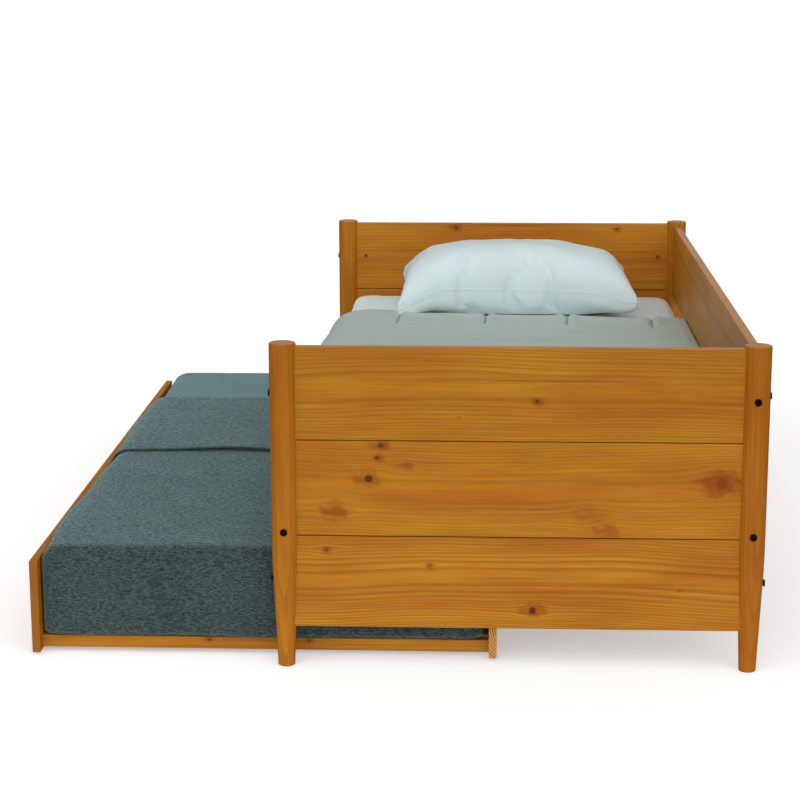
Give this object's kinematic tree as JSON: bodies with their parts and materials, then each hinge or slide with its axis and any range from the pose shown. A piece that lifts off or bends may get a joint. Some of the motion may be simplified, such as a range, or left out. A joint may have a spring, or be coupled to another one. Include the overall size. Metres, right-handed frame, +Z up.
{
  "type": "trundle bed",
  "caption": "Pine daybed with round tapered posts, boarded ends and a back board, and a low second bed on rollers that slides out from under its front side.",
  "frame": {"origin": "on the floor, under the middle of the whole footprint with the trundle pulled out as at rest", "axes": "+X from the trundle's front side to the back board, +Y along the bed from the plain end to the pillow end, +Z up"},
  "size_m": [1.6162, 2.0526, 0.724],
  "materials": {
    "post_pine": "satin",
    "board_pine": "satin",
    "plain_pine": "matte",
    "beech": "matte",
    "black_steel": "satin",
    "zinc_steel": "satin",
    "roller_plastic": "matte",
    "ticking": "matte",
    "white_cotton": "matte",
    "sage_cotton": "matte",
    "teal_cotton": "matte",
    "teal_knit": "matte"
  },
  "bodies": {
    "bed": {"back_board": "board_pine", "back_far_post": "post_pine", "back_near_post": "post_pine", "back_side_rail": "board_pine", "back_slat_ledger": "plain_pine", "barrel_nuts": "zinc_steel", "bed_mattress": "ticking", "bed_quilt": "sage_cotton", "bed_screws": "zinc_steel", "bed_sheet": "white_cotton", "bed_slat_01": "plain_pine", "bed_slat_02": "plain_pine", "bed_slat_03": "plain_pine", "bed_slat_04": "plain_pine", "bed_slat_05": "plain_pine", "bed_slat_06": "plain_pine", "bed_slat_07": "plain_pine", "bed_slat_08": "plain_pine", "bed_slat_09": "plain_pine", "bed_slat_10": "plain_pine", "bed_slat_11": "plain_pine", "far_panel_lower_board": "board_pine", "far_panel_middle_board": "board_pine", "far_panel_upper_board": "board_pine", "frame_bolts": "black_steel", "front_far_post": "post_pine", "front_near_post": "post_pine", "front_side_rail": "board_pine", "front_slat_ledger": "plain_pine", "near_panel_lower_board": "board_pine", "near_panel_middle_board": "board_pine", "near_panel_upper_board": "board_pine", "pillow": "white_cotton", "rail_dowels": "beech"},
    "trundle": {"roller_axles": "zinc_steel", "roller_brackets": "zinc_steel", "trundle_blanket": "teal_knit", "trundle_dowels": "beech", "trundle_far_end_rail": "board_pine", "trundle_front_board": "board_pine", "trundle_front_ledger": "plain_pine", "trundle_mattress": "ticking", "trundle_near_end_rail": "board_pine", "trundle_rear_board": "board_pine", "trundle_rear_ledger": "plain_pine", "trundle_screws": "zinc_steel", "trundle_sheet": "teal_cotton", "trundle_slat_01": "plain_pine", "trundle_slat_02": "plain_pine", "trundle_slat_03": "plain_pine", "trundle_slat_04": "plain_pine", "trundle_slat_05": "plain_pine", "trundle_slat_06": "plain_pine", "trundle_slat_07": "plain_pine", "trundle_slat_08": "plain_pine"},
    "front_far_roller": {"front_far_roller": "roller_plastic"},
    "front_near_roller": {"front_near_roller": "roller_plastic"},
    "rear_far_roller": {"rear_far_roller": "roller_plastic"},
    "rear_near_roller": {"rear_near_roller": "roller_plastic"}
  },
  "joints": [
    {"name": "trundle_slide", "type": "slide", "parent": "bed", "child": "trundle", "axis": [-1, 0, 0], "range_m": [-0.546, 0.5]},
    {"name": "front_far_roller_spin", "type": "hinge", "parent": "trundle", "child": "front_far_roller", "pos_m": [-0.74515, 0.73714, 0.019], "axis": [0, -1, 0], "continuous": true},
    {"name": "front_near_roller_spin", "type": "hinge", "parent": "trundle", "child": "front_near_roller", "pos_m": [-0.74515, -0.73714, 0.019], "axis": [0, -1, 0], "continuous": true},
    {"name": "rear_far_roller_spin", "type": "hinge", "parent": "trundle", "child": "rear_far_roller", "pos_m": [0.16685, 0.73714, 0.019], "axis": [0, -1, 0], "continuous": true},
    {"name": "rear_near_roller_spin", "type": "hinge", "parent": "trundle", "child": "rear_near_roller", "pos_m": [0.16685, -0.73714, 0.019], "axis": [0, -1, 0], "continuous": true}
  ],
  "couplings": [
    {"joint": "front_far_roller_spin", "follows": "trundle_slide", "rad_per_m": 52.632},
    {"joint": "front_near_roller_spin", "follows": "trundle_slide", "rad_per_m": 52.632},
    {"joint": "rear_far_roller_spin", "follows": "trundle_slide", "rad_per_m": 52.632},
    {"joint": "rear_near_roller_spin", "follows": "trundle_slide", "rad_per_m": 52.632}
  ]
}
